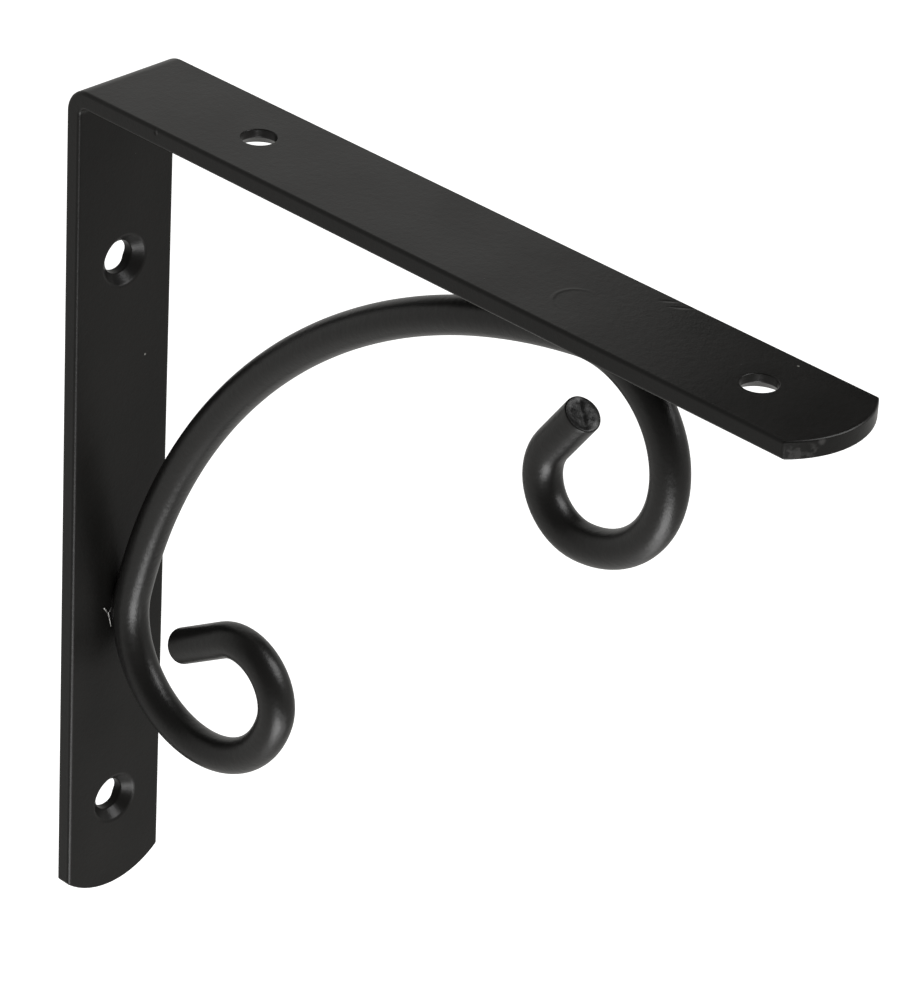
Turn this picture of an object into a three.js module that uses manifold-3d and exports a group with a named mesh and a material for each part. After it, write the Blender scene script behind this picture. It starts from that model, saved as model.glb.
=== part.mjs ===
// A black steel shelf bracket: a flat strip bent into an L, and a round rod that braces it.
//
// Millimetres, +Z up. X runs across the strip, the leg stands on the wall plane y = 0 and the arm reaches
// out along -Y. The origin is on the leg's back face, midway between the two wall screws.

import * as THREE from 'three';
import { mergeVertices } from 'three/addons/utils/BufferGeometryUtils.js';
import Module from 'manifold-3d';

// The strip
const stripWidth = 20;
const stripThickness = 3;
const legLength = 150; // from the outer corner to the tip of the rounded end
const armLength = 150;
const bendRadius = 1.4; // on the inside of the corner
const edgeRadius = 0.6; // the rolled long edges
const endRise = 3.8; // how far each rounded end stands out past its two corners

// The screw holes, two in the leg and two in the arm
const cornerToHole = 32.3; // from the outer corner to the nearer hole
const holeToTip = 17; // from the farther hole to the tip of the rounded end
const holeDiameter = 5.8;
const countersinkDiameter = 9;
const countersinkAngle = 90; // degrees, over the whole cone

// The rod, from its lower end to its front end. Every bend turns the same way.
const rodDiameter = 6;
const lowerTail = 11.4; // the straight end of the lower scroll
const lowerEyeRadius = 8.4;
const lowerEyeTurn = 136.5; // degrees
const lowerScrollRadius = 17.5;
const lowerScrollTurn = 163.8; // degrees, up to where the rod touches the leg
const lowerScrollLead = 13.9; // degrees, from there to the start of the arch
const archRadius = 113;
const frontScrollLead = 8.5; // degrees, from the end of the arch to where the rod touches the arm
const frontScrollRadius = 16.4;
const frontScrollTurn = 177.8; // degrees
const frontEyeRadius = 8.3;
const frontEyeTurn = 128.8; // degrees
const frontTail = 9.1;

// The two spots where the rod is welded to the strip
const weldLength = 8;
const weldWidth = 3.2;
const weldHeight = 1.6;
const weldGap = 0.1; // left between the weld and the strip

// How finely round things are divided
const holeSides = 48;
const endArcSides = 24;
const bendSteps = 8;
const edgeSteps = 3;
const rodSides = 16;
const rodStep = 1.9; // longest straight stretch along the rod
const weldSides = 20;
const weldRings = 4;

// How far a cutting shape runs past what it cuts
const cutMargin = 1;

// The finish, a satin black powder coat, a little glossier on the rod
const coatColour = 0x1c1c1d;
const stripRoughness = 0.5;
const rodRoughness = 0.42;

// The strip's outer corner stands this far above the origin, which is midway between the leg's holes
const cornerHeight = (cornerToHole + legLength - holeToTip) / 2;

const wasm = await Module();
wasm.setup();

function solidOf(geometry) {
  const bare = geometry.clone();
  bare.deleteAttribute('normal');
  bare.deleteAttribute('uv');
  const merged = mergeVertices(bare);
  const mesh = new wasm.Mesh({
    numProp: 3,
    vertProperties: new Float32Array(merged.attributes.position.array),
    triVerts: new Uint32Array(merged.index.array),
  });
  return new wasm.Manifold(mesh);
}

function geometryOf(solid) {
  const mesh = solid.getMesh();
  const geometry = new THREE.BufferGeometry();
  geometry.setAttribute('position', new THREE.BufferAttribute(new Float32Array(mesh.vertProperties), 3));
  geometry.setIndex(new THREE.BufferAttribute(new Uint32Array(mesh.triVerts), 1));
  geometry.computeVertexNormals();
  return geometry;
}

function coatedSteel(roughness) {
  return new THREE.MeshStandardMaterial({ color: coatColour, roughness, metalness: 0 });
}

// A shape drawn in the side view, with x out from the wall and y up, becomes a solid centred on x = 0.
function placeSideView(geometry, depth) {
  const toSide = new THREE.Matrix4().makeBasis(
    new THREE.Vector3(0, -1, 0),
    new THREE.Vector3(0, 0, 1),
    new THREE.Vector3(-1, 0, 0),
  );
  return geometry.translate(0, 0, -depth / 2).applyMatrix4(toSide);
}

function bentStrip() {
  const outerBend = bendRadius + stripThickness;
  const top = cornerHeight;
  const foot = cornerHeight - legLength;
  const underside = top - stripThickness;
  const outline = new THREE.Shape();
  outline.moveTo(0, foot);
  outline.lineTo(stripThickness, foot);
  outline.lineTo(stripThickness, underside - bendRadius);
  outline.absarc(outerBend, underside - bendRadius, bendRadius, Math.PI, Math.PI / 2, true);
  outline.lineTo(armLength, underside);
  outline.lineTo(armLength, top);
  outline.lineTo(outerBend, top);
  outline.absarc(outerBend, top - outerBend, outerBend, Math.PI / 2, Math.PI, false);
  outline.closePath();
  const geometry = new THREE.ExtrudeGeometry(outline, {
    depth: stripWidth - 2 * edgeRadius,
    curveSegments: bendSteps / 2,
    bevelEnabled: true,
    bevelThickness: edgeRadius,
    bevelSize: edgeRadius,
    bevelOffset: -edgeRadius,
    bevelSegments: edgeSteps,
  });
  return placeSideView(geometry, stripWidth - 2 * edgeRadius);
}

// What is sheared off a strip that lies along +Y, to leave its end rounded at the given length.
function endOffcut(length) {
  const half = stripWidth / 2;
  const radius = (half * half + endRise * endRise) / (2 * endRise);
  const shoulderAngle = Math.asin(half / radius);
  const shoulder = length - endRise;
  const outline = new THREE.Shape();
  outline.moveTo(half + cutMargin, shoulder);
  outline.lineTo(half + cutMargin, length + cutMargin);
  outline.lineTo(-half - cutMargin, length + cutMargin);
  outline.lineTo(-half - cutMargin, shoulder);
  outline.absarc(0, length - radius, radius, Math.PI / 2 + shoulderAngle, Math.PI / 2 - shoulderAngle, true);
  outline.closePath();
  const depth = stripThickness + 2 * cutMargin;
  const geometry = new THREE.ExtrudeGeometry(outline, {
    depth,
    curveSegments: endArcSides / 2,
    bevelEnabled: false,
  });
  return geometry.translate(0, 0, -cutMargin);
}

// A countersunk hole along +Z, with its narrow end at z = 0 and its wide mouth at z = stripThickness.
function screwHole() {
  const bore = holeDiameter / 2;
  const mouth = countersinkDiameter / 2;
  const slope = Math.tan(THREE.MathUtils.degToRad(countersinkAngle / 2));
  const coneDepth = (mouth - bore) / slope;
  const profile = [
    new THREE.Vector2(0, -cutMargin),
    new THREE.Vector2(bore, -cutMargin),
    new THREE.Vector2(bore, stripThickness - coneDepth),
    new THREE.Vector2(mouth + cutMargin * slope, stripThickness + cutMargin),
    new THREE.Vector2(0, stripThickness + cutMargin),
  ];
  return new THREE.LatheGeometry(profile, holeSides).rotateX(Math.PI / 2);
}

// Both halves of the strip are laid out the same way: Y from the outer corner along the strip, and Z through
// its thickness, away from the wall on the leg and away from the shelf on the arm.
const ontoLeg = new THREE.Matrix4().makeBasis(
  new THREE.Vector3(-1, 0, 0),
  new THREE.Vector3(0, 0, -1),
  new THREE.Vector3(0, -1, 0),
).setPosition(0, 0, cornerHeight);
const ontoArm = new THREE.Matrix4().makeBasis(
  new THREE.Vector3(1, 0, 0),
  new THREE.Vector3(0, -1, 0),
  new THREE.Vector3(0, 0, -1),
).setPosition(0, 0, cornerHeight);

function makeStrip() {
  let strip = solidOf(bentStrip());
  for (const [matrix, length] of [[ontoLeg, legLength], [ontoArm, armLength]]) {
    strip = strip.subtract(solidOf(endOffcut(length).applyMatrix4(matrix)));
    for (const distance of [cornerToHole, length - holeToTip]) {
      const hole = screwHole().translate(0, distance, 0);
      strip = strip.subtract(solidOf(hole.applyMatrix4(matrix)));
    }
  }
  const mesh = new THREE.Mesh(geometryOf(strip), coatedSteel(stripRoughness));
  mesh.name = 'bent_strip';
  return mesh;
}

// Follows the rod in the side view and keeps its point and heading, as a bending jig does.
class RodLine {
  constructor(heading) {
    this.heading = heading;
    this.point = new THREE.Vector2(0, 0);
    this.line = new THREE.CurvePath();
  }

  straight(length) {
    const end = this.point.clone();
    end.x += length * Math.cos(this.heading);
    end.y += length * Math.sin(this.heading);
    this.line.add(new THREE.LineCurve(this.point, end));
    this.point = end;
  }

  bend(radius, degrees) {
    const turn = THREE.MathUtils.degToRad(degrees);
    const start = this.heading + Math.PI / 2;
    const x = this.point.x - radius * Math.cos(start);
    const y = this.point.y - radius * Math.sin(start);
    this.line.add(new THREE.EllipseCurve(x, y, radius, radius, start, start - turn, true));
    this.heading -= turn;
    this.point = new THREE.Vector2(x + radius * Math.cos(start - turn), y + radius * Math.sin(start - turn));
  }
}

// The same line in space, in the plane x = 0.
class InSidePlane extends THREE.Curve {
  constructor(line) {
    super();
    this.line = line;
  }

  getPoint(t, target = new THREE.Vector3()) {
    const point = this.line.getPoint(t);
    return target.set(0, -point.x, point.y);
  }
}

// A low dome that fills the wedge between the rod and a flat face. Its base is at z = 0.
function weldDome() {
  const profile = [new THREE.Vector2(0, 0)];
  for (let ring = 0; ring <= weldRings; ring++) {
    const angle = (ring / weldRings) * (Math.PI / 2);
    const radius = ring === weldRings ? 0 : (weldWidth / 2) * Math.cos(angle);
    profile.push(new THREE.Vector2(radius, weldHeight * Math.sin(angle)));
  }
  return new THREE.LatheGeometry(profile, weldSides).rotateX(Math.PI / 2).scale(1, weldLength / weldWidth, 1);
}

function makeRod() {
  const radius = rodDiameter / 2;
  const standOff = stripThickness + weldGap + radius;
  const upwards = Math.PI / 2;
  const quarterTurn = THREE.MathUtils.radToDeg(Math.PI / 2);
  const jig = new RodLine(upwards + THREE.MathUtils.degToRad(lowerEyeTurn + lowerScrollTurn));
  jig.straight(lowerTail);
  jig.bend(lowerEyeRadius, lowerEyeTurn);
  jig.bend(lowerScrollRadius, lowerScrollTurn);
  const legTouch = jig.point.clone();
  jig.bend(lowerScrollRadius, lowerScrollLead);
  jig.bend(archRadius, quarterTurn - lowerScrollLead - frontScrollLead);
  jig.bend(frontScrollRadius, frontScrollLead);
  const armTouch = jig.point.clone();
  jig.bend(frontScrollRadius, frontScrollTurn);
  jig.bend(frontEyeRadius, frontEyeTurn);
  jig.straight(frontTail);

  const section = new THREE.Shape();
  section.absarc(0, 0, radius, 0, 2 * Math.PI, false);
  const bar = new THREE.ExtrudeGeometry(section, {
    steps: Math.ceil(jig.line.getLength() / rodStep),
    curveSegments: rodSides / 2,
    extrudePath: new InSidePlane(jig.line),
  });
  const legWeld = weldDome().rotateX(Math.PI / 2).translate(0, radius - legTouch.x, legTouch.y);
  const armWeld = weldDome().rotateX(Math.PI).translate(0, -armTouch.x, radius + armTouch.y);
  const rod = solidOf(bar).add(solidOf(legWeld)).add(solidOf(armWeld));
  const mesh = new THREE.Mesh(geometryOf(rod), coatedSteel(rodRoughness));
  mesh.name = 'scroll_rod';
  mesh.position.set(0, legTouch.x - standOff, cornerHeight - standOff - armTouch.y);
  return mesh;
}

const bracket = new THREE.Group();
bracket.add(makeStrip());
bracket.add(makeRod());

export default bracket;
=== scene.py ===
# %% [markdown]
# # A black steel shelf bracket
# The real bracket is two pieces of mild steel. A flat bar is bent once into an L, punched, countersunk and
# rounded at both ends. A round bar is bent into an arch with a scroll at each end and welded inside the L.
# Both are powder coated satin black.
# The measured model is loaded first, because every piece below takes its place from it.

# %% Load the measured model
import math

import bmesh
import bpy
from mathutils import Matrix, Vector, noise


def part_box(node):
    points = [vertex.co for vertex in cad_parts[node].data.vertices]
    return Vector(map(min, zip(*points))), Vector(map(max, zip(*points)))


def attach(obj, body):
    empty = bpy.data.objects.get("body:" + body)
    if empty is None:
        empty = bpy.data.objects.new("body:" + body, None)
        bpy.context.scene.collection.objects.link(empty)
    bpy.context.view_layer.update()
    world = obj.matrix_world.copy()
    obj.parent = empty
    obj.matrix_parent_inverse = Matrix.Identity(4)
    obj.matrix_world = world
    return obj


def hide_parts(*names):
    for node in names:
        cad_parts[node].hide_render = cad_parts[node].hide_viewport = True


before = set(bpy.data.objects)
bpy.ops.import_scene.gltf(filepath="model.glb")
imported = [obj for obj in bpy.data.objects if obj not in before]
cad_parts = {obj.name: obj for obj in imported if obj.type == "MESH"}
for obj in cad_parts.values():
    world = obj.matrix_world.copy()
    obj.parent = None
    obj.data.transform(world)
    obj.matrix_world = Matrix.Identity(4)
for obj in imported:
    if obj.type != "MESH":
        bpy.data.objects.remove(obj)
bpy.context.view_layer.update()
mm = 0.001

# %% [markdown]
# The camera stands to the left of the bracket and above it, at the distance where the two legs of the L
# look as long as they really are. A long lens keeps their edges almost parallel. The direction is given by
# an azimuth, an elevation and a roll, and the picture is 916 by 1000 pixels.

# %% Camera
picture_width, picture_height = 916, 1000  # pixels
focal_length_in_pixels = 4843.4
sensor_size = 36  # millimetres, as the camera wants it
view_azimuth = math.radians(-46.889)
view_elevation = math.radians(29.653)
view_roll = math.radians(3.377)
view_distance = 733 * mm
aim_point = Vector((0, -80, 12.65)) * mm
aim_right = 0.37 * mm
aim_up = -24.42 * mm

view_turn = (
    Matrix.Rotation(view_azimuth, 3, "Z")
    @ Matrix.Rotation(math.pi / 2 - view_elevation, 3, "X")
    @ Matrix.Rotation(view_roll, 3, "Z")
)
eye = aim_point + view_turn @ Vector((-aim_right, -aim_up, view_distance))

camera = bpy.data.objects.new("camera", bpy.data.cameras.new("camera"))
camera.data.sensor_width = sensor_size
camera.data.lens = focal_length_in_pixels * sensor_size / max(picture_width, picture_height)
camera.matrix_world = Matrix.Translation(eye) @ view_turn.to_4x4()
bpy.context.scene.collection.objects.link(camera)
bpy.context.scene.camera = camera
print("camera at", eye, "with a lens of", round(camera.data.lens, 1), "mm")

# %% [markdown]
# A node material is a chain of small steps. One helper adds a step with its settings, its typed values and
# its links, so that each finish below reads as a list of what it does. Another turns a colour as it is
# picked on a screen into the linear colour that a shader needs.

# %% Helpers for materials
def linear(hex_colour):
    """An sRGB hex colour as the linear colour that a shader works in."""
    channels = [int(hex_colour[i:i + 2], 16) / 255 for i in (1, 3, 5)]
    bright = [c / 12.92 if c <= 0.04045 else ((c + 0.055) / 1.055) ** 2.4 for c in channels]
    return (*bright, 1)


def add_node(tree, kind, inputs=None, **settings):
    """Adds a node. A value in inputs is typed into its socket, and an output socket is linked to it."""
    node = tree.nodes.new(kind)
    for name, value in settings.items():
        setattr(node, name, value)
    for key, value in (inputs or {}).items():
        if isinstance(value, bpy.types.NodeSocket):
            tree.links.new(value, node.inputs[key])
        else:
            node.inputs[key].default_value = value
    return node


def new_material(name):
    """An empty material and its node tree."""
    material = bpy.data.materials.new(name)
    material.use_nodes = True
    material.node_tree.nodes.clear()
    return material, material.node_tree


print("a mid grey is", round(linear("#808080")[0], 3), "in linear light")

# %% [markdown]
# Powder coat is ground plastic that is sprayed on dry and baked until it flows. It keeps a slight
# waviness, which painters call orange peel, and a satin black one spreads a reflection without losing it.
# The waviness is two noises of real size in the bump. A third noise varies the gloss a little, because the
# powder lies thicker in some places than in others, and a few grains of dust are baked in.
# Clean plastic of IOR 1.5 has a specular level of 0.5. The matting agent in a satin coat lowers it, more
# so on the flat bar, where the coat is thin. On the round bar it lies thicker, so its waves are higher.

# %% Satin black powder coat
peel_size = 1.1 * mm  # one wave of orange peel
grain_size = 0.32 * mm
grain_height = 0.016 * mm
cloud_size = 14 * mm  # a patch where the coat lies thicker
dust_spacing = 7 * mm
dust_size = 0.16 * mm
dust_height = 0.05 * mm
coat_black = linear("#0f0f0e")
coat_black_thick = linear("#141312")


def powder_coat(name, roughness_low, roughness_high, reflection, peel_height, marks=None):
    """A satin black polyester powder coat. marks adds the dents and scuffs of one piece."""
    material, tree = new_material(name)
    place = add_node(tree, "ShaderNodeTexCoord").outputs["Object"]
    peel = add_node(tree, "ShaderNodeTexNoise", {"Vector": place, "Scale": 1 / peel_size, "Detail": 1})
    grain = add_node(tree, "ShaderNodeTexNoise", {"Vector": place, "Scale": 1 / grain_size, "Detail": 2})
    cloud = add_node(tree, "ShaderNodeTexNoise", {"Vector": place, "Scale": 1 / cloud_size, "Detail": 3})
    dust = add_node(tree, "ShaderNodeTexVoronoi", {"Vector": place, "Scale": 1 / dust_spacing})
    nib = add_node(
        tree, "ShaderNodeMapRange",
        {"Value": dust.outputs["Distance"], "From Min": 0, "From Max": dust_size / dust_spacing,
         "To Min": 1, "To Max": 0},
    )
    colour = add_node(
        tree, "ShaderNodeMix",
        {"Factor": cloud.outputs["Fac"], "A": coat_black, "B": coat_black_thick}, data_type="RGBA",
    ).outputs["Result"]
    gloss = add_node(
        tree, "ShaderNodeMapRange",
        {"Value": cloud.outputs["Fac"], "From Min": 0.3, "From Max": 0.7,
         "To Min": roughness_low, "To Max": roughness_high},
    ).outputs["Result"]
    heights = [(peel.outputs["Fac"], peel_height), (grain.outputs["Fac"], grain_height),
               (nib.outputs["Result"], dust_height)]
    if marks:
        colour, gloss, mark_heights = marks(tree, place, colour, gloss)
        heights += mark_heights
    shader = {"Base Color": colour, "Roughness": gloss, "IOR": 1.5, "Specular IOR Level": reflection}
    for height, depth in heights:
        bump = add_node(tree, "ShaderNodeBump", {"Height": height, "Distance": depth})
        if "Normal" in shader:
            tree.links.new(shader["Normal"], bump.inputs["Normal"])
        shader["Normal"] = bump.outputs["Normal"]
    surface = add_node(tree, "ShaderNodeBsdfPrincipled", shader)
    add_node(tree, "ShaderNodeOutputMaterial", {"Surface": surface.outputs["BSDF"]})
    return material


rod_coat = powder_coat(
    "powder_coat_on_round_bar",
    roughness_low=0.31, roughness_high=0.39, reflection=0.31, peel_height=0.045 * mm,
)
print("made", rod_coat.name, "with", len(rod_coat.node_tree.nodes), "nodes")

# %% [markdown]
# The flat bar has been handled and carries a few marks. Each one is a soft ellipsoid in the place where it
# lies on the steel. It is 1 in its middle and 0 outside, and it moves the bump, the gloss or the colour.
# It could be cut into the mesh too, but a mark this shallow shows only by its shading.

# %% Helpers for marks
low_corner, high_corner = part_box("bent_strip")
half_width = high_corner.x
top = high_corner.z


def on_bar(x, y, below_top=0):
    """A place on the arm, from x and y and how far below its top it lies, all in millimetres."""
    return Vector((x * mm, y * mm, top - below_top * mm))


def soft_spot(tree, place, centre, size, hard=0, turn=0):
    """1 in the middle of an ellipsoid and 0 outside it.

    size is its three radii in millimetres, hard the share of them that stays at 1 and turn its degrees
    about Z.
    """
    inside = add_node(
        tree, "ShaderNodeMapping",
        {"Vector": place, "Location": centre, "Rotation": (0, 0, math.radians(turn)),
         "Scale": Vector(size) * mm},
        vector_type="TEXTURE",
    )
    reach = add_node(tree, "ShaderNodeVectorMath", {0: inside.outputs["Vector"]}, operation="LENGTH")
    return add_node(
        tree, "ShaderNodeMapRange",
        {"Value": reach.outputs["Value"], "From Min": hard, "From Max": 1, "To Min": 1, "To Max": 0},
        interpolation_type="SMOOTHSTEP",
    ).outputs["Result"]


def blend_values(tree, factor, a, b):
    """The values a and b, mixed by a factor."""
    return add_node(tree, "ShaderNodeMix", {"Factor": factor, "A": a, "B": b}).outputs["Result"]


def blend_colours(tree, factor, a, b):
    """The colours a and b, mixed by a factor."""
    return add_node(
        tree, "ShaderNodeMix", {"Factor": factor, "A": a, "B": b}, data_type="RGBA"
    ).outputs["Result"]


def combine(tree, operation, a, b):
    """Two values put together by a sum, a product or another operation of the Math node."""
    return add_node(tree, "ShaderNodeMath", {0: a, 1: b}, operation=operation).outputs["Value"]


print("the arm's top is", round(top / mm, 2), "mm above the middle of the leg's holes")

# %% [markdown]
# Two thin dents lie along the far edge of the arm. A ring on the top shows where the weld below once
# marked the bar, and the near edge has a small knock.
# The ring is a wide disc less a slightly smaller one, and a third soft spot fades it out on one side. Each
# mark is kept with the height that it gives the bump, which is negative where it goes in.

# %% Dents, ring and knock
dents = ((8.3, -108.4, 2.0), (8.2, -110.9, 2.5))  # x and y of each, and its length, in millimetres
dent_width = 0.5
dent_turn = -50
dent_depth = 0.045 * mm
# Each spot is its place, its three radii in millimetres and the share of them that is fully marked.
ring_outside = (on_bar(-1.6, -99.9), (4.1, 4.1, 1), 0.86)
ring_inside = (on_bar(-1.6, -99.9), (3.6, 3.6, 1), 0.83)
ring_kept = (on_bar(-1.6, -97.5), (5.2, 5.2, 2), 0.4)
ring_height = 0.03 * mm
knock_spot = (on_bar(-10, -20.3, 0.7), (0.6, 0.5, 0.6), 0)
knock_depth = 0.15 * mm


def pressed_marks(tree, place):
    """The marks that change only the bump, each with its height."""
    heights = []
    for x, y, length in dents:
        dent = soft_spot(tree, place, on_bar(x, y), (length, dent_width, 1), turn=dent_turn)
        heights.append((dent, -dent_depth))
    outside = soft_spot(tree, place, *ring_outside)
    inside = soft_spot(tree, place, *ring_inside)
    kept = soft_spot(tree, place, *ring_kept)
    ring = combine(tree, "SUBTRACT", outside, inside)
    heights.append((combine(tree, "MULTIPLY", ring, kept), ring_height))
    heights.append((soft_spot(tree, place, *knock_spot), -knock_depth))
    return heights


print(len(dents), "dents, a ring and a knock")

# %% [markdown]
# At its front end the arm has been rubbed. The coat is duller and greyer there in blotches, has a small
# chip on the near side and is a little browner on the far side. Two specks of pale dust lie on the bar.
# A noise with a narrow band between 0 and 1 breaks the rubbed spot up into blotches.

# %% Rubbed end and specks
blotch_size = 1.1 * mm
blotch_starts, blotch_full = 0.42, 0.56  # the values of the noise between which a blotch fades in
rubbed_grey, rubbed_brown = linear("#2c2b2a"), linear("#2a2623")
chip_grey, speck_grey = linear("#2f2e2d"), linear("#6f6f6a")
rubbed_roughness, chip_roughness = 0.6, 0.7
near_end_spot = (on_bar(-8.2, -147.9, 1.7), (3.6, 2.2, 1.6), 0.6)
far_end_spot = (on_bar(7.4, -147.6, 1.5), (2.4, 2, 1.8), 0.3)
chip_spot = (on_bar(-5.4, -149.5, 0.5), (0.9, 0.9, 0.9), 0.5)
speck_places = (on_bar(7.84, -133.2), Vector((4.72, -3, 32.1)) * mm)
speck_size, speck_hard = (0.24, 0.24, 0.24), 0.4
speck_height = 0.08 * mm


def flat_bar_marks(tree, place, colour, gloss):
    """All the marks on the flat bar, as a new colour, a new gloss and the heights for the bump."""
    heights = pressed_marks(tree, place)
    patches = add_node(tree, "ShaderNodeTexNoise", {"Vector": place, "Scale": 1 / blotch_size, "Detail": 2})
    blotch = add_node(
        tree, "ShaderNodeMapRange",
        {"Value": patches.outputs["Fac"], "From Min": blotch_starts, "From Max": blotch_full,
         "To Min": 0, "To Max": 1},
    ).outputs["Result"]
    near_end = soft_spot(tree, place, *near_end_spot)
    far_end = soft_spot(tree, place, *far_end_spot)
    chip = soft_spot(tree, place, *chip_spot)
    rubbed = combine(tree, "MULTIPLY", near_end, blotch)
    colour = blend_colours(tree, rubbed, colour, rubbed_grey)
    colour = blend_colours(tree, far_end, colour, rubbed_brown)
    colour = blend_colours(tree, chip, colour, chip_grey)
    gloss = blend_values(tree, rubbed, gloss, rubbed_roughness)
    gloss = blend_values(tree, chip, gloss, chip_roughness)
    for speck_place in speck_places:
        speck = soft_spot(tree, place, speck_place, speck_size, speck_hard)
        colour = blend_colours(tree, speck, colour, speck_grey)
        heights.append((speck, speck_height))
    return colour, gloss, heights


strip_coat = powder_coat(
    "powder_coat_on_flat_bar",
    roughness_low=0.29, roughness_high=0.37, reflection=0.20, peel_height=0.018 * mm, marks=flat_bar_marks,
)
print("made", strip_coat.name, "with", len(strip_coat.node_tree.nodes), "nodes")

# %% [markdown]
# Every finished mesh goes through the same last steps: its normals are made to point outwards, it is
# shaded smooth, it rides on the one body of the part and the measured solid that it replaces is hidden.


def finish_piece(bm, name, material, node):
    """Turns a bmesh into an object and hides the node of the measured model that it replaces."""
    bmesh.ops.recalc_face_normals(bm, faces=bm.faces[:])
    for face in bm.faces:
        face.smooth = True
    mesh = bpy.data.meshes.new(name)
    bm.to_mesh(mesh)
    bm.free()
    mesh.materials.append(material)
    piece = bpy.data.objects.new(name, mesh)
    bpy.context.scene.collection.objects.link(piece)
    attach(piece, "root")
    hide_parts(node)
    print(name, "has", len(mesh.polygons), "faces")
    return piece


# %% [markdown]
# The flat bar is 20 by 3 mm. Its two legs mirror each other, so only the one on the wall is modelled, with
# half of the bend, and then mirrored at the corner's diagonal.
# Lengths that the measured model already has are read from its box. The coat fills the holes a little: it
# makes the 5.8 mm bore and the 9 mm mouth a tenth of a millimetre narrower all round.

# %% Sizes of the flat bar
leg_length = top - low_corner.z
thickness = 3 * mm
inner_bend_radius = 1.4 * mm
outer_bend_radius = inner_bend_radius + thickness
end_rise = 3.8 * mm  # how far the rounded end stands out past its two corners
hole_distances = (32.3 * mm, 133 * mm)  # from the corner
coat_thickness = 0.1 * mm
bore_radius = 2.9 * mm - coat_thickness
mouth_radius = 4.5 * mm - coat_thickness
countersink_half_angle = math.radians(45)
cone_depth = (mouth_radius - bore_radius) / math.tan(countersink_half_angle)
columns = 16
bend_steps = 8
tiny = 0.01 * mm
print("leg", round(leg_length / mm, 2), "mm long, corner at", round(top / mm, 2), "mm")

# %% [markdown]
# The leg starts as one row of edges across the bar. The row is pulled down the leg, a square with a round
# hole is bridged in for each screw, and the last row is curved to the rounded end.
# A hole could also be cut with a Boolean, but bridging gives an even ring of faces round it, and its rim
# can be rounded cleanly later.

# %% A flat sheet with two holes
def verts_of(things):
    """The points in a mixed list of what an operator made."""
    return [v for v in things if isinstance(v, bmesh.types.BMVert)]


def edges_of(things):
    """The edges in a mixed list of what an operator made."""
    return [e for e in things if isinstance(e, bmesh.types.BMEdge)]


def pull_row(bm, row, height):
    """Pulls a row of edges along the leg and fills the faces behind it."""
    made = bmesh.ops.extrude_edge_only(bm, edges=row)["geom"]
    moved = verts_of(made)
    bmesh.ops.translate(bm, verts=moved, vec=(0, 0, height - row[0].verts[0].co.z))
    return [e for e in edges_of(made) if e.verts[0] in moved and e.verts[1] in moved]


def row_ends(row):
    """The left and right ends of a row."""
    verts = {v for e in row for v in e.verts}
    return min(verts, key=lambda v: v.co.x), max(verts, key=lambda v: v.co.x)


def hole_square(bm, row, height):
    """Adds a square of the sheet with a round hole in its middle, below a row.

    The rim is bridged from in front of the sheet and then moved back. In one plane with the square, the
    two loops would leave the bridge no way to tell which way round they run.
    """
    start_height = row[0].verts[0].co.z
    verts = list({v for e in row for v in e.verts})
    copy = bmesh.ops.duplicate(bm, geom=verts + row)["geom"]
    bmesh.ops.translate(bm, verts=verts_of(copy), vec=(0, 0, height - start_height))
    far_row = edges_of(copy)
    sides = [bm.edges.new(pair) for pair in zip(row_ends(row), row_ends(far_row))]
    cut = bmesh.ops.subdivide_edges(bm, edges=sides, cuts=columns - 1)
    outer = set(row) | set(far_row) | set(edges_of(cut["geom_split"])) | set(sides)
    in_front = Matrix.Translation((0, -thickness, (start_height + height) / 2))
    upright = Matrix.Rotation(math.pi / 2, 4, "X")
    rim = bmesh.ops.create_circle(
        bm, segments=4 * columns, radius=bore_radius, matrix=in_front @ upright
    )["verts"]
    rim_edges = {e for v in rim for e in v.link_edges}
    bmesh.ops.bridge_loops(bm, edges=list(outer | rim_edges))
    bmesh.ops.translate(bm, verts=rim, vec=(0, thickness, 0))
    return far_row


sheet = bmesh.new()
row_start = top - outer_bend_radius
corners = [sheet.verts.new((side * half_width, 0, row_start)) for side in (-1, 1)]
sheet.edges.new(corners)
bmesh.ops.subdivide_edges(sheet, edges=sheet.edges[:], cuts=columns - 1)
row = sheet.edges[:]
for distance in hole_distances:
    row = pull_row(sheet, row, top - distance + half_width)
    row = hole_square(sheet, row, top - distance - half_width)
row = pull_row(sheet, row, top - leg_length)
end_radius = (half_width ** 2 + end_rise ** 2) / (2 * end_rise)
for v in {v for e in row for v in e.verts}:
    v.co.z += end_radius - math.sqrt(end_radius ** 2 - v.co.x ** 2)
print("sheet:", len(sheet.faces), "faces")

# %% [markdown]
# The sheet gets its thickness by extruding it away from the wall. The holes are then opened to a cone on
# the front, as a countersink bit does: a ring is cut where the cone ends, and the front rim is scaled up.
# The face across the top is taken away again, because the bend goes on from there.

# %% Thickness and countersinks
def open_countersink(bm, height):
    """Opens the front of one straight hole to a cone."""
    def in_hole(v):
        return math.hypot(v.co.x, v.co.z - height) < bore_radius + tiny
    wall = [f for f in bm.faces if all(in_hole(v) for v in f.verts)]
    geometry = wall + list({e for f in wall for e in f.edges}) + list({v for f in wall for v in f.verts})
    bmesh.ops.bisect_plane(bm, geom=geometry, plane_co=(0, cone_depth - thickness, 0), plane_no=(0, 1, 0))
    front_rim = [v for v in bm.verts if in_hole(v) and v.co.y < tiny - thickness]
    grow = mouth_radius / bore_radius
    bmesh.ops.scale(bm, verts=front_rim, vec=(grow, 1, grow), space=Matrix.Translation((0, 0, -height)))


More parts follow.
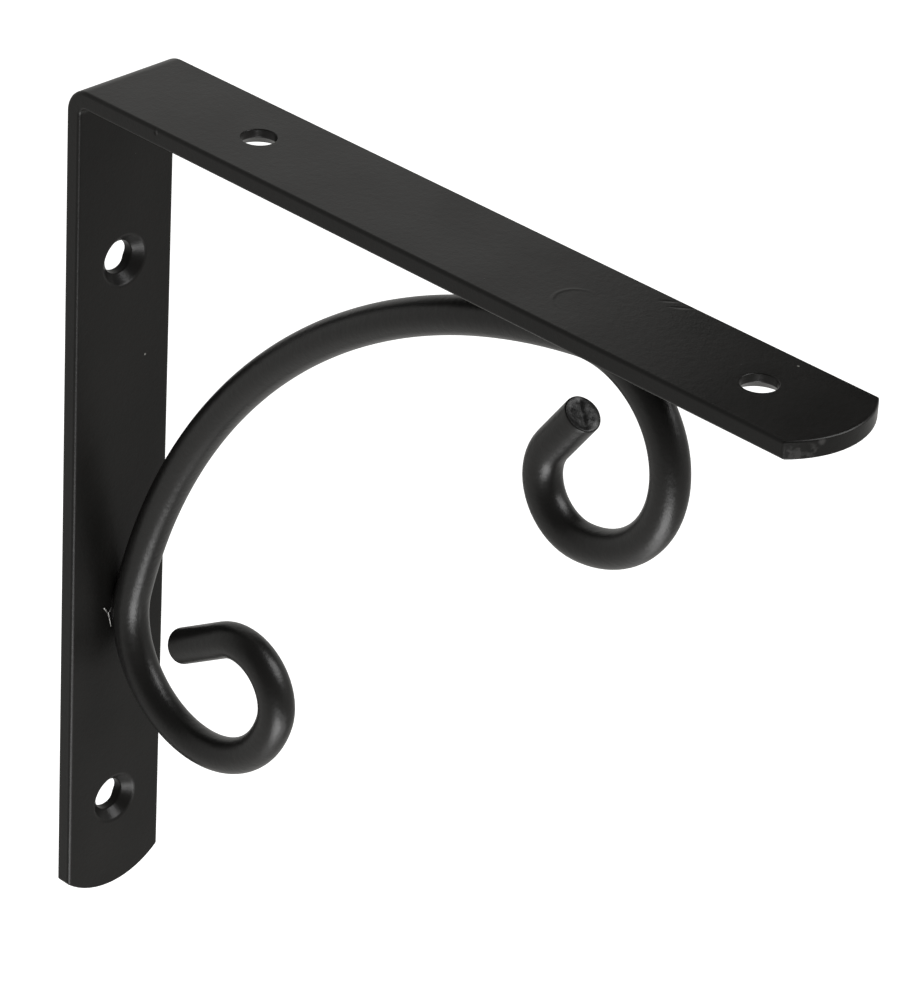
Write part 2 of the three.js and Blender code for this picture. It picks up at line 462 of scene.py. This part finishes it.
flat_sheet = sheet.verts[:] + sheet.edges[:] + sheet.faces[:]
front = bmesh.ops.extrude_face_region(sheet, geom=flat_sheet, use_keep_orig=True)["geom"]
bmesh.ops.translate(sheet, verts=verts_of(front), vec=(0, -thickness, 0))
start_wall = [f for f in sheet.faces if all(abs(v.co.z - row_start) < tiny for v in f.verts)]
bmesh.ops.delete(sheet, geom=start_wall, context="FACES")
for distance in hole_distances:
    open_countersink(sheet, top - distance)
print("cones", round(cone_depth / mm, 2), "mm deep")

# %% [markdown]
# Half of the bend is a spin of the open end about the centre of the bend, and a mirror makes the arm.
# A mirror in bmesh joins what lies on the plane through the origin, so the corner's diagonal is turned and
# moved onto that plane first, and back again afterwards.

# %% Bend and mirror
open_end = [e for e in sheet.edges if e.is_boundary]
bmesh.ops.spin(
    sheet, geom=open_end + list({v for e in open_end for v in e.verts}),
    cent=(0, -outer_bend_radius, row_start), axis=(1, 0, 0), angle=math.pi / 4, steps=bend_steps,
    dvec=(0, 0, 0), use_duplicate=False,
)
onto_diagonal = Matrix.Rotation(math.pi / 4, 4, "X") @ Matrix.Translation((0, 0, -top))
bmesh.ops.transform(sheet, verts=sheet.verts[:], matrix=onto_diagonal)
half_bracket = sheet.verts[:] + sheet.edges[:] + sheet.faces[:]
bmesh.ops.mirror(sheet, geom=half_bracket, matrix=Matrix.Identity(4), merge_dist=tiny, axis="Y")
bmesh.ops.transform(sheet, verts=sheet.verts[:], matrix=onto_diagonal.inverted())
print("open edges left:", sum(e.is_boundary for e in sheet.edges))

# %% [markdown]
# Powder gathers inside a bore and melts there. In both of the leg's bores it left a lip round the far rim,
# with a lump on its right side, so the rim's points are moved in a little.

# %% Lips of powder in the leg's bores
lip_depth = 0.2 * mm
lump_depth = 0.35 * mm
lump_angle = math.radians(-20)
lump_spread = math.radians(24)
moved = 0
for distance in hole_distances:
    for v in sheet.verts:
        spoke = Vector((v.co.x, v.co.z - top + distance))
        if v.co.y > -tiny and spoke.length < bore_radius + tiny:
            turned = math.atan2(spoke.y, spoke.x) - lump_angle
            inwards = lip_depth + lump_depth * math.exp(-(turned / lump_spread) ** 2)
            spoke *= 1 - inwards / bore_radius
            v.co.x, v.co.z = spoke.x, spoke.y + top - distance
            moved += 1
print("moved", moved, "points of the far rims")

# %% [markdown]
# The long edges of rolled bar are quite round. The sheared ends and the holes' rims are less so, and the
# edge where a countersink meets its bore is nearly sharp.
# Each edge gets a weight, and one Bevel modifier rounds them all by that share of its width. The bmesh
# bevel takes only one width at a time, so it would need a pass for each kind of edge.

# %% Rounded edges
long_edge_radius = 0.6 * mm
flat_angle = math.radians(20)  # edges that turn less than this stay as they are
end_edge_share = 0.6
mouth_share = 0.6
far_rim_share = 0.25
bore_edge_share = 0.25

weights = sheet.edges.layers.float.new("bevel_weight_edge")


def edge_weight(edge):
    """How round an edge is, as a share of the long edges' radius."""
    if edge.calc_face_angle(0) < flat_angle:
        return 0
    if min(max(-v.co.y, top - v.co.z) for v in edge.verts) > leg_length - end_rise - tiny:
        return end_edge_share
    if all(abs(v.co.x) > half_width - tiny for v in edge.verts):
        return 1
    depth = min(-edge.verts[0].co.y, top - edge.verts[0].co.z)
    if depth < tiny:
        return far_rim_share
    return mouth_share if depth > thickness - tiny else bore_edge_share


bmesh.ops.recalc_face_normals(sheet, faces=sheet.faces[:])
for edge in sheet.edges:
    edge[weights] = edge_weight(edge)
strip = finish_piece(sheet, "flat_bar", strip_coat, "bent_strip")
rounding = strip.modifiers.new("rounded edges", "BEVEL")
rounding.width = long_edge_radius
rounding.segments = 4
rounding.limit_method = "WEIGHT"
rounding.harden_normals = True
print("rounded edges up to", round(rounding.width / mm, 2), "mm")

# %% [markdown]
# The round bar is 6 mm thick and is bent cold on a jig, always the same way round: a straight tail, a
# tight eye, a wider scroll that touches the leg, the big arch, and the same again under the arm.
# Each bend is a radius and an angle in degrees, as it would be set on the jig. The arch turns through what
# is left of the quarter turn between the leg and the arm.

# %% Sizes of the round bar
rod_radius = 3 * mm
rod_sides = 48
lower_tail, front_tail = 11.4 * mm, 9.1 * mm
lower_eye = (8.4 * mm, 136.5)
lower_scroll = (17.5 * mm, 163.8)
lower_lead = (17.5 * mm, 13.9)  # from the leg to the arch
front_lead = (16.4 * mm, 8.5)  # from the arch to the arm
front_scroll = (16.4 * mm, 177.8)
front_eye = (8.3 * mm, 128.8)
arch = (113 * mm, 90 - lower_lead[1] - front_lead[1])
step_length = 1.0 * mm
weld_gap = 0.1 * mm
stand_off = thickness + weld_gap + rod_radius
print("the arch turns through", round(arch[1], 1), "degrees")

# %% [markdown]
# One circle is spun through each bend and extruded along each straight, as the bar goes round the jig. A
# curve with a bevel could make the same bar, but the spins keep every ring square to the bar and the steps
# between the rings even. The jig remembers the last ring, its middle and the way that it faces.

# %% A jig for the round bar
def ring_edges(ring):
    """The edges that join the points of a ring."""
    members = set(ring)
    return list({e for v in ring for e in v.link_edges if e.other_vert(v) in members})


def next_ring(bm, ring):
    """Extrudes a ring of points and gives the new ring, still in the same place."""
    return verts_of(bmesh.ops.extrude_edge_only(bm, edges=ring_edges(ring))["geom"])


class Jig:
    """Bends a round bar in the plane x = 0. The heading is measured from the way out of the wall."""

    def __init__(self, bm, heading):
        self.bm = bm
        self.heading = heading
        self.point = Vector((0, 0, 0))
        turn = Matrix.Rotation(math.pi / 2 - heading, 4, "X")
        circle = bmesh.ops.create_circle(bm, segments=rod_sides, radius=rod_radius, matrix=turn)
        self.ring = circle["verts"]

    def direction(self, angle):
        """The way that a heading points."""
        return Vector((0, -math.cos(angle), math.sin(angle)))

    def straight(self, length):
        """Runs the bar straight on."""
        steps = math.ceil(length / step_length)
        stride = self.direction(self.heading) * length / steps
        for _ in range(steps):
            self.ring = next_ring(self.bm, self.ring)
            bmesh.ops.translate(self.bm, verts=self.ring, vec=stride)
        self.point += self.direction(self.heading) * length

    def bend(self, radius, degrees):
        """Bends the bar round a centre on its right."""
        centre = self.point + self.direction(self.heading - math.pi / 2) * radius
        angle = math.radians(degrees)
        last = bmesh.ops.spin(
            self.bm, geom=ring_edges(self.ring) + self.ring, cent=centre, axis=(1, 0, 0), angle=angle,
            steps=math.ceil(radius * angle / step_length), dvec=(0, 0, 0), use_duplicate=False,
        )["geom_last"]
        self.ring = verts_of(last)
        self.point = centre + Matrix.Rotation(angle, 3, "X") @ (self.point - centre)
        self.heading -= angle


print("a ring has", rod_sides, "points and stands", step_length / mm, "mm or less from the next")

# %% [markdown]
# The bends are made one after the other, from the lower end to the front end. The bar's place isn't known
# until it is bent, so it is bent first and then moved to where it touches both legs.

# %% Bend the round bar
rod = bmesh.new()
jig = Jig(rod, math.radians(90 + lower_eye[1] + lower_scroll[1]))
lower_ring, lower_way = list(jig.ring), -jig.direction(jig.heading)
jig.straight(lower_tail)
jig.bend(*lower_eye)
jig.bend(*lower_scroll)
leg_touch = jig.point.copy()
jig.bend(*lower_lead)
jig.bend(*arch)
jig.bend(*front_lead)
arm_touch = jig.point.copy()
jig.bend(*front_scroll)
jig.bend(*front_eye)
jig.straight(front_tail)
front_ring, front_way = list(jig.ring), jig.direction(jig.heading)
place = Vector((0, -stand_off - leg_touch.y, top - stand_off - arm_touch.z))
bmesh.ops.translate(rod, verts=rod.verts[:], vec=place)
leg_touch += place
arm_touch += place
print("rod touches the leg at", leg_touch, "and the arm at", arm_touch)

# %% [markdown]
# Both ends of the round bar were sheared. The blades squeeze the rim round and tear the middle. The front
# end has a furrow across its face, and the lower end is torn only a little.
# Each face is described by a function that says how far it stands out at a spot on it. The two ends read
# different slices of the noise, so that they aren't torn alike.

# %% Faces of the sheared ends
furrow_depth = 0.13 * mm
furrow_width = 0.48 * mm
furrow_across, furrow_shift = Vector((0.906, -0.423)), 0.13 * mm
face_slope = 0.05
tear_size = 1.1 * mm
front_tear_depth, front_slice = 0.05 * mm, 4 * mm
lower_tear_depth, lower_slice = 0.03 * mm, 9 * mm


def front_face(spot):
    """How far the front end's face stands out at a spot, measured across the bar."""
    off = spot.dot(furrow_across) + furrow_shift
    furrow = math.exp(-(off / furrow_width) ** 2)
    tear = noise.noise(Vector((*spot, front_slice)) / tear_size)
    return tear * front_tear_depth - furrow * furrow_depth + off * face_slope


def lower_face(spot):
    """How far the lower end's face stands out at a spot."""
    return noise.noise(Vector((*spot, lower_slice)) / tear_size) * lower_tear_depth


print("the furrow's floor lies at", round(front_face(-furrow_shift * furrow_across) / mm, 3), "mm")

# %% [markdown]
# The ring at each end is drawn in over a quarter circle for the rounded rim, and then towards the middle
# in small steps. Each point is pushed in or out along the bar by the function of its face, which starts
# softly beside the rim. A last face closes the middle.

# %% Close the ends
rim_steps = 4
face_rings = 12
relief_start = 0.2  # the share of the radius over which the relief grows to its full height
lower_end_rim = 0.6 * mm
front_end_rim = 0.25 * mm


def close_end(bm, ring, way, rim, relief):
    """Closes an end of the bar. way points out of it and rim is the radius of its rounded edge."""
    centre = sum((v.co for v in ring), Vector()) / len(ring)
    upward = way.cross(Vector((1, 0, 0)))
    bmesh.ops.translate(bm, verts=ring, vec=-rim * way)
    shares = []
    for step in range(1, rim_steps + 1):
        angle = math.pi / 2 * step / rim_steps
        shares.append((1 - rim / rod_radius * (1 - math.cos(angle)), rim * (math.sin(angle) - 1)))
    flat_share = shares[-1][0]
    shares += [(flat_share * (1 - i / face_rings), 0) for i in range(1, face_rings)]
    for share, depth in shares:
        ring = next_ring(bm, ring)
        for v in ring:
            spoke = v.co - centre
            spoke = (spoke - spoke.dot(way) * way).normalized() * rod_radius * share
            fade = min(1, (flat_share - share) / relief_start)
            v.co = centre + spoke + way * (depth + fade * relief(Vector((spoke.x, spoke.dot(upward)))))
    bmesh.ops.contextual_create(bm, geom=ring)


close_end(rod, lower_ring, lower_way, lower_end_rim, lower_face)
close_end(rod, front_ring, front_way, front_end_rim, front_face)
finish_piece(rod, "round_bar", rod_coat, "scroll_rod")

# %% [markdown]
# The round bar is welded to the flat bar where it touches it. The metal that is squeezed out forms a low
# bead on both sides of the bar, with a lumpy skin under the coat.
# A bead starts as a sphere, is scaled to a low ellipsoid and roughened with noise, and its half inside the
# flat bar is cut away and closed.

# %% Welds
bead_length, bead_width, bead_height = 8 * mm, 3.2 * mm, 1.6 * mm
bead_lump = 1.4 * mm
bead_roughness = 0.12 * mm


def weld_bead(name, centre, turn):
    """A bead on a flat face through centre, whose length lies along Z before the turn about X."""
    bead = bmesh.new()
    bmesh.ops.create_icosphere(bead, subdivisions=5, radius=1)
    bmesh.ops.scale(bead, verts=bead.verts[:], vec=(bead_width / 2, bead_height, bead_length / 2))
    for v in bead.verts:
        v.co *= 1 + noise.noise(v.co / bead_lump + centre / mm) * bead_roughness / bead_height
    geometry = bead.verts[:] + bead.edges[:] + bead.faces[:]
    cut = bmesh.ops.bisect_plane(
        bead, geom=geometry, plane_co=(0, 0, 0), plane_no=(0, 1, 0), clear_outer=True
    )
    bmesh.ops.contextual_create(bead, geom=edges_of(cut["geom_cut"]))
    bmesh.ops.transform(bead, verts=bead.verts[:], matrix=Matrix.Translation(centre) @ turn)
    finish_piece(bead, name, rod_coat, "scroll_rod")


sunk = 0.02 * mm
along_arm = Matrix.Rotation(math.pi / 2, 4, "X")
weld_bead("leg_weld", Vector((0, sunk - thickness, leg_touch.z)), Matrix.Identity(4))
weld_bead("arm_weld", Vector((0, arm_touch.y, top - thickness + sunk)), along_arm)

# %% [markdown]
# On the leg, a thin forked burr of weld metal stands beside the bead. It pokes through the coat, so it is
# bare mild steel, dulled by weather to a blotched grey. It glints without mirroring, and it is the
# brightest mark on the bracket. A metal's colour is that of its reflection, here two greys from a noise.

# %% Dull bare steel
tarnish_size = 0.6 * mm
burr_steel, tree = new_material("dull_bare_steel")
place = add_node(tree, "ShaderNodeTexCoord").outputs["Object"]
tarnish = add_node(tree, "ShaderNodeTexNoise", {"Vector": place, "Scale": 1 / tarnish_size, "Detail": 2})
steel = blend_colours(tree, tarnish.outputs["Fac"], linear("#6a6967"), linear("#8f8e8c"))
surface = add_node(
    tree, "ShaderNodeBsdfPrincipled", {"Base Color": steel, "Metallic": 1, "Roughness": 0.45}
)
add_node(tree, "ShaderNodeOutputMaterial", {"Surface": surface.outputs["BSDF"]})
print("made", burr_steel.name)

# %% [markdown]
# The burr is four thin cones in the shape of a Y, each sunk to its middle in the face of the leg. Their
# ends overlap, and a small bevel rounds each end.

# %% Forked burr beside the weld on the leg
burr_sides = 12
burr_edge_radius = 0.06 * mm
end_angle = math.radians(60)  # only the edges round the ends turn more than this
burr_strokes = [
    # x and z in millimetres at its start and its end, and its width there
    ((-3.2, -11.9), (-2.35, -13.2), 0.42, 0.34),
    ((-1.4, -12.5), (-2.0, -13.3), 0.36, 0.30),
    ((-2.2, -13.1), (-1.95, -14.3), 0.40, 0.34),
    ((-1.95, -14.2), (-1.5, -16.3), 0.34, 0.16),
]
burr = bmesh.new()
for start, end, start_width, end_width in burr_strokes:
    a, b = (Vector((x * mm, -thickness, z * mm)) for x, z in (start, end))
    matrix = Matrix.Translation((a + b) / 2) @ (b - a).to_track_quat("Z", "Y").to_matrix().to_4x4()
    bmesh.ops.create_cone(
        burr, cap_ends=True, segments=burr_sides, radius1=start_width / 2 * mm, radius2=end_width / 2 * mm,
        depth=(b - a).length, matrix=matrix,
    )
end_edges = [e for e in burr.edges if e.calc_face_angle(0) > end_angle]
bmesh.ops.bevel(
    burr, geom=end_edges, offset=burr_edge_radius, affect="EDGES", segments=2, profile=0.5, material=-1
)
finish_piece(burr, "weld_burr", burr_steel, "scroll_rod")

# %% [markdown]
# The light is plain and soft. The bracket stands in pale surroundings. The room behind the camera and the
# ceiling are dark, and the front right and the back left are a little dimmer. Each of these is a direction
# with a level, and the surroundings pass softly from one level to the next.
# A picture of a studio could light it as well, but a few directions can be written down and understood.

# %% Surroundings
def world_direction(azimuth, elevation):
    """A direction from the bracket, by its angle from +Y towards +X and its angle above the horizon."""
    a, e = math.radians(azimuth), math.radians(elevation)
    return Vector((math.sin(a) * math.cos(e), math.cos(a) * math.cos(e), math.sin(e)))


surround_level = 0.73
dim_parts = [
    # azimuth, elevation, the cosine where it starts, the cosine where it is full, and its level
    (133, -28, 0.55, 0.95, 0.47),
    (-35, -25, 0.85, 0.99, 0.62),
    (0, 90, 0.50, 0.90, 0.36),
    (-135, 35, 0.10, 0.75, 0.16),
]

world = bpy.data.worlds.new("pale surroundings")
world.use_nodes = True
world.node_tree.nodes.clear()
bpy.context.scene.world = world
sky = world.node_tree
towards = add_node(sky, "ShaderNodeTexCoord").outputs["Generated"]
level = surround_level
for azimuth, elevation, starts, full, dim_level in dim_parts:
    facing = add_node(
        sky, "ShaderNodeVectorMath", {0: towards, 1: world_direction(azimuth, elevation)},
        operation="DOT_PRODUCT",
    )
    share = add_node(
        sky, "ShaderNodeMapRange",
        {"Value": facing.outputs["Value"], "From Min": starts, "From Max": full},
        interpolation_type="SMOOTHSTEP",
    )
    level = blend_values(sky, share.outputs["Result"], level, dim_level)
seen = add_node(sky, "ShaderNodeLightPath").outputs["Is Camera Ray"]
backdrop = add_node(
    sky, "ShaderNodeBackground",
    {"Color": linear("#fffefb"), "Strength": blend_values(sky, seen, level, 1.0)},
)
add_node(sky, "ShaderNodeOutputWorld", {"Surface": backdrop.outputs["Background"]})
bpy.context.scene.view_settings.view_transform = "Standard"
print("surroundings with", len(dim_parts), "darker parts")

# %% [markdown]
# Two large soft lamps give the highlights on the round bar: one low in front, and one high on the right. A
# small one under the front fills in what they leave dark. They are discs, because a round bar draws a lamp
# out into a long soft line, and a disc leaves no corners in it. The camera doesn't see them.

# %% Lamps
middle = Vector((0, -70, 20)) * mm


def facing_bracket(position, aim):
    """A matrix that puts a thing at a position with its Z pointing away from the aim."""
    away = (position - aim).normalized()
    return Matrix.Translation(position) @ away.to_track_quat("Z", "Y").to_matrix().to_4x4()


def soft_light(name, azimuth, elevation, distance, size, radiance):
    """A disc lamp that faces the bracket, as bright as radiance wherever it is seen.

    distance and size, its diameter, are in metres. A disc gives off its radiance times pi times its area.
    """
    data = bpy.data.lights.new(name, "AREA")
    data.shape = "DISK"
    data.size = size
    area = math.pi * (size / 2) ** 2
    data.energy = radiance * math.pi * area
    light = bpy.data.objects.new(name, data)
    light.matrix_world = facing_bracket(middle + world_direction(azimuth, elevation) * distance, middle)
    light.visible_camera = False
    bpy.context.scene.collection.objects.link(light)
    print(name, "of", round(data.energy, 2), "W")


soft_light("low front light", -143, -47, distance=0.60, size=0.38, radiance=8.5)
soft_light("high right light", 146, 44, distance=0.60, size=0.44, radiance=7)
soft_light("small light under the front", 175, -57, distance=0.20, size=0.10, radiance=2.5)

# %% [markdown]
# A black card on the right keeps the pale surroundings out of the arm's front end, which is why the arm's
# top darkens towards its tip. Photographers do the same with black paper. The card is part of the set and
# not of the bracket. The camera doesn't see it, and it throws no shadow.

# %% Black card
card_place = Vector((215, -75, 228)) * mm
card_aim = Vector((0, -110, 82)) * mm
card_size = Vector((270, 260)) * mm


def stage_piece(bm, name, colour, glow):
    """A part of the set, which isn't part of the bracket."""
    mesh = bpy.data.meshes.new(name)
    bm.to_mesh(mesh)
    bm.free()
    piece = bpy.data.objects.new(name, mesh)
    bpy.context.scene.collection.objects.link(piece)
    material, tree = new_material(name)
    surface = add_node(
        tree, "ShaderNodeBsdfPrincipled",
        {"Base Color": linear(colour), "Roughness": 0.9, "Specular IOR Level": 0.1,
         "Emission Color": linear("#ffffff"), "Emission Strength": glow},
    )
    add_node(tree, "ShaderNodeOutputMaterial", {"Surface": surface.outputs["BSDF"]})
    mesh.materials.append(material)
    print(name, "added to the set")
    return piece


card_mesh = bmesh.new()
bmesh.ops.create_grid(card_mesh, x_segments=1, y_segments=1, size=0.5)
bmesh.ops.scale(card_mesh, verts=card_mesh.verts[:], vec=(card_size.x, card_size.y, 1))
bmesh.ops.transform(card_mesh, verts=card_mesh.verts[:], matrix=facing_bracket(card_place, card_aim))
card = stage_piece(card_mesh, "black_card", "#0a0a0a", 0)
card.visible_camera = False
card.visible_shadow = False

# %% [markdown]
# The floor is white paper, half a metre below the bracket, where its shadow is too soft to see. It glows,
# which keeps it white to its far edge. It stays out of the reflections, because the surroundings already
# light the bracket from below.

# %% Floor
floor_drop = 500 * mm
floor_size = 8000 * mm
floor_mesh = bmesh.new()
bmesh.ops.create_grid(floor_mesh, x_segments=1, y_segments=1, size=floor_size / 2)
bmesh.ops.translate(floor_mesh, verts=floor_mesh.verts[:], vec=(0, 0, low_corner.z - floor_drop))
floor = stage_piece(floor_mesh, "white_paper_floor", "#f7f7f7", 0.9)
floor.visible_glossy = False
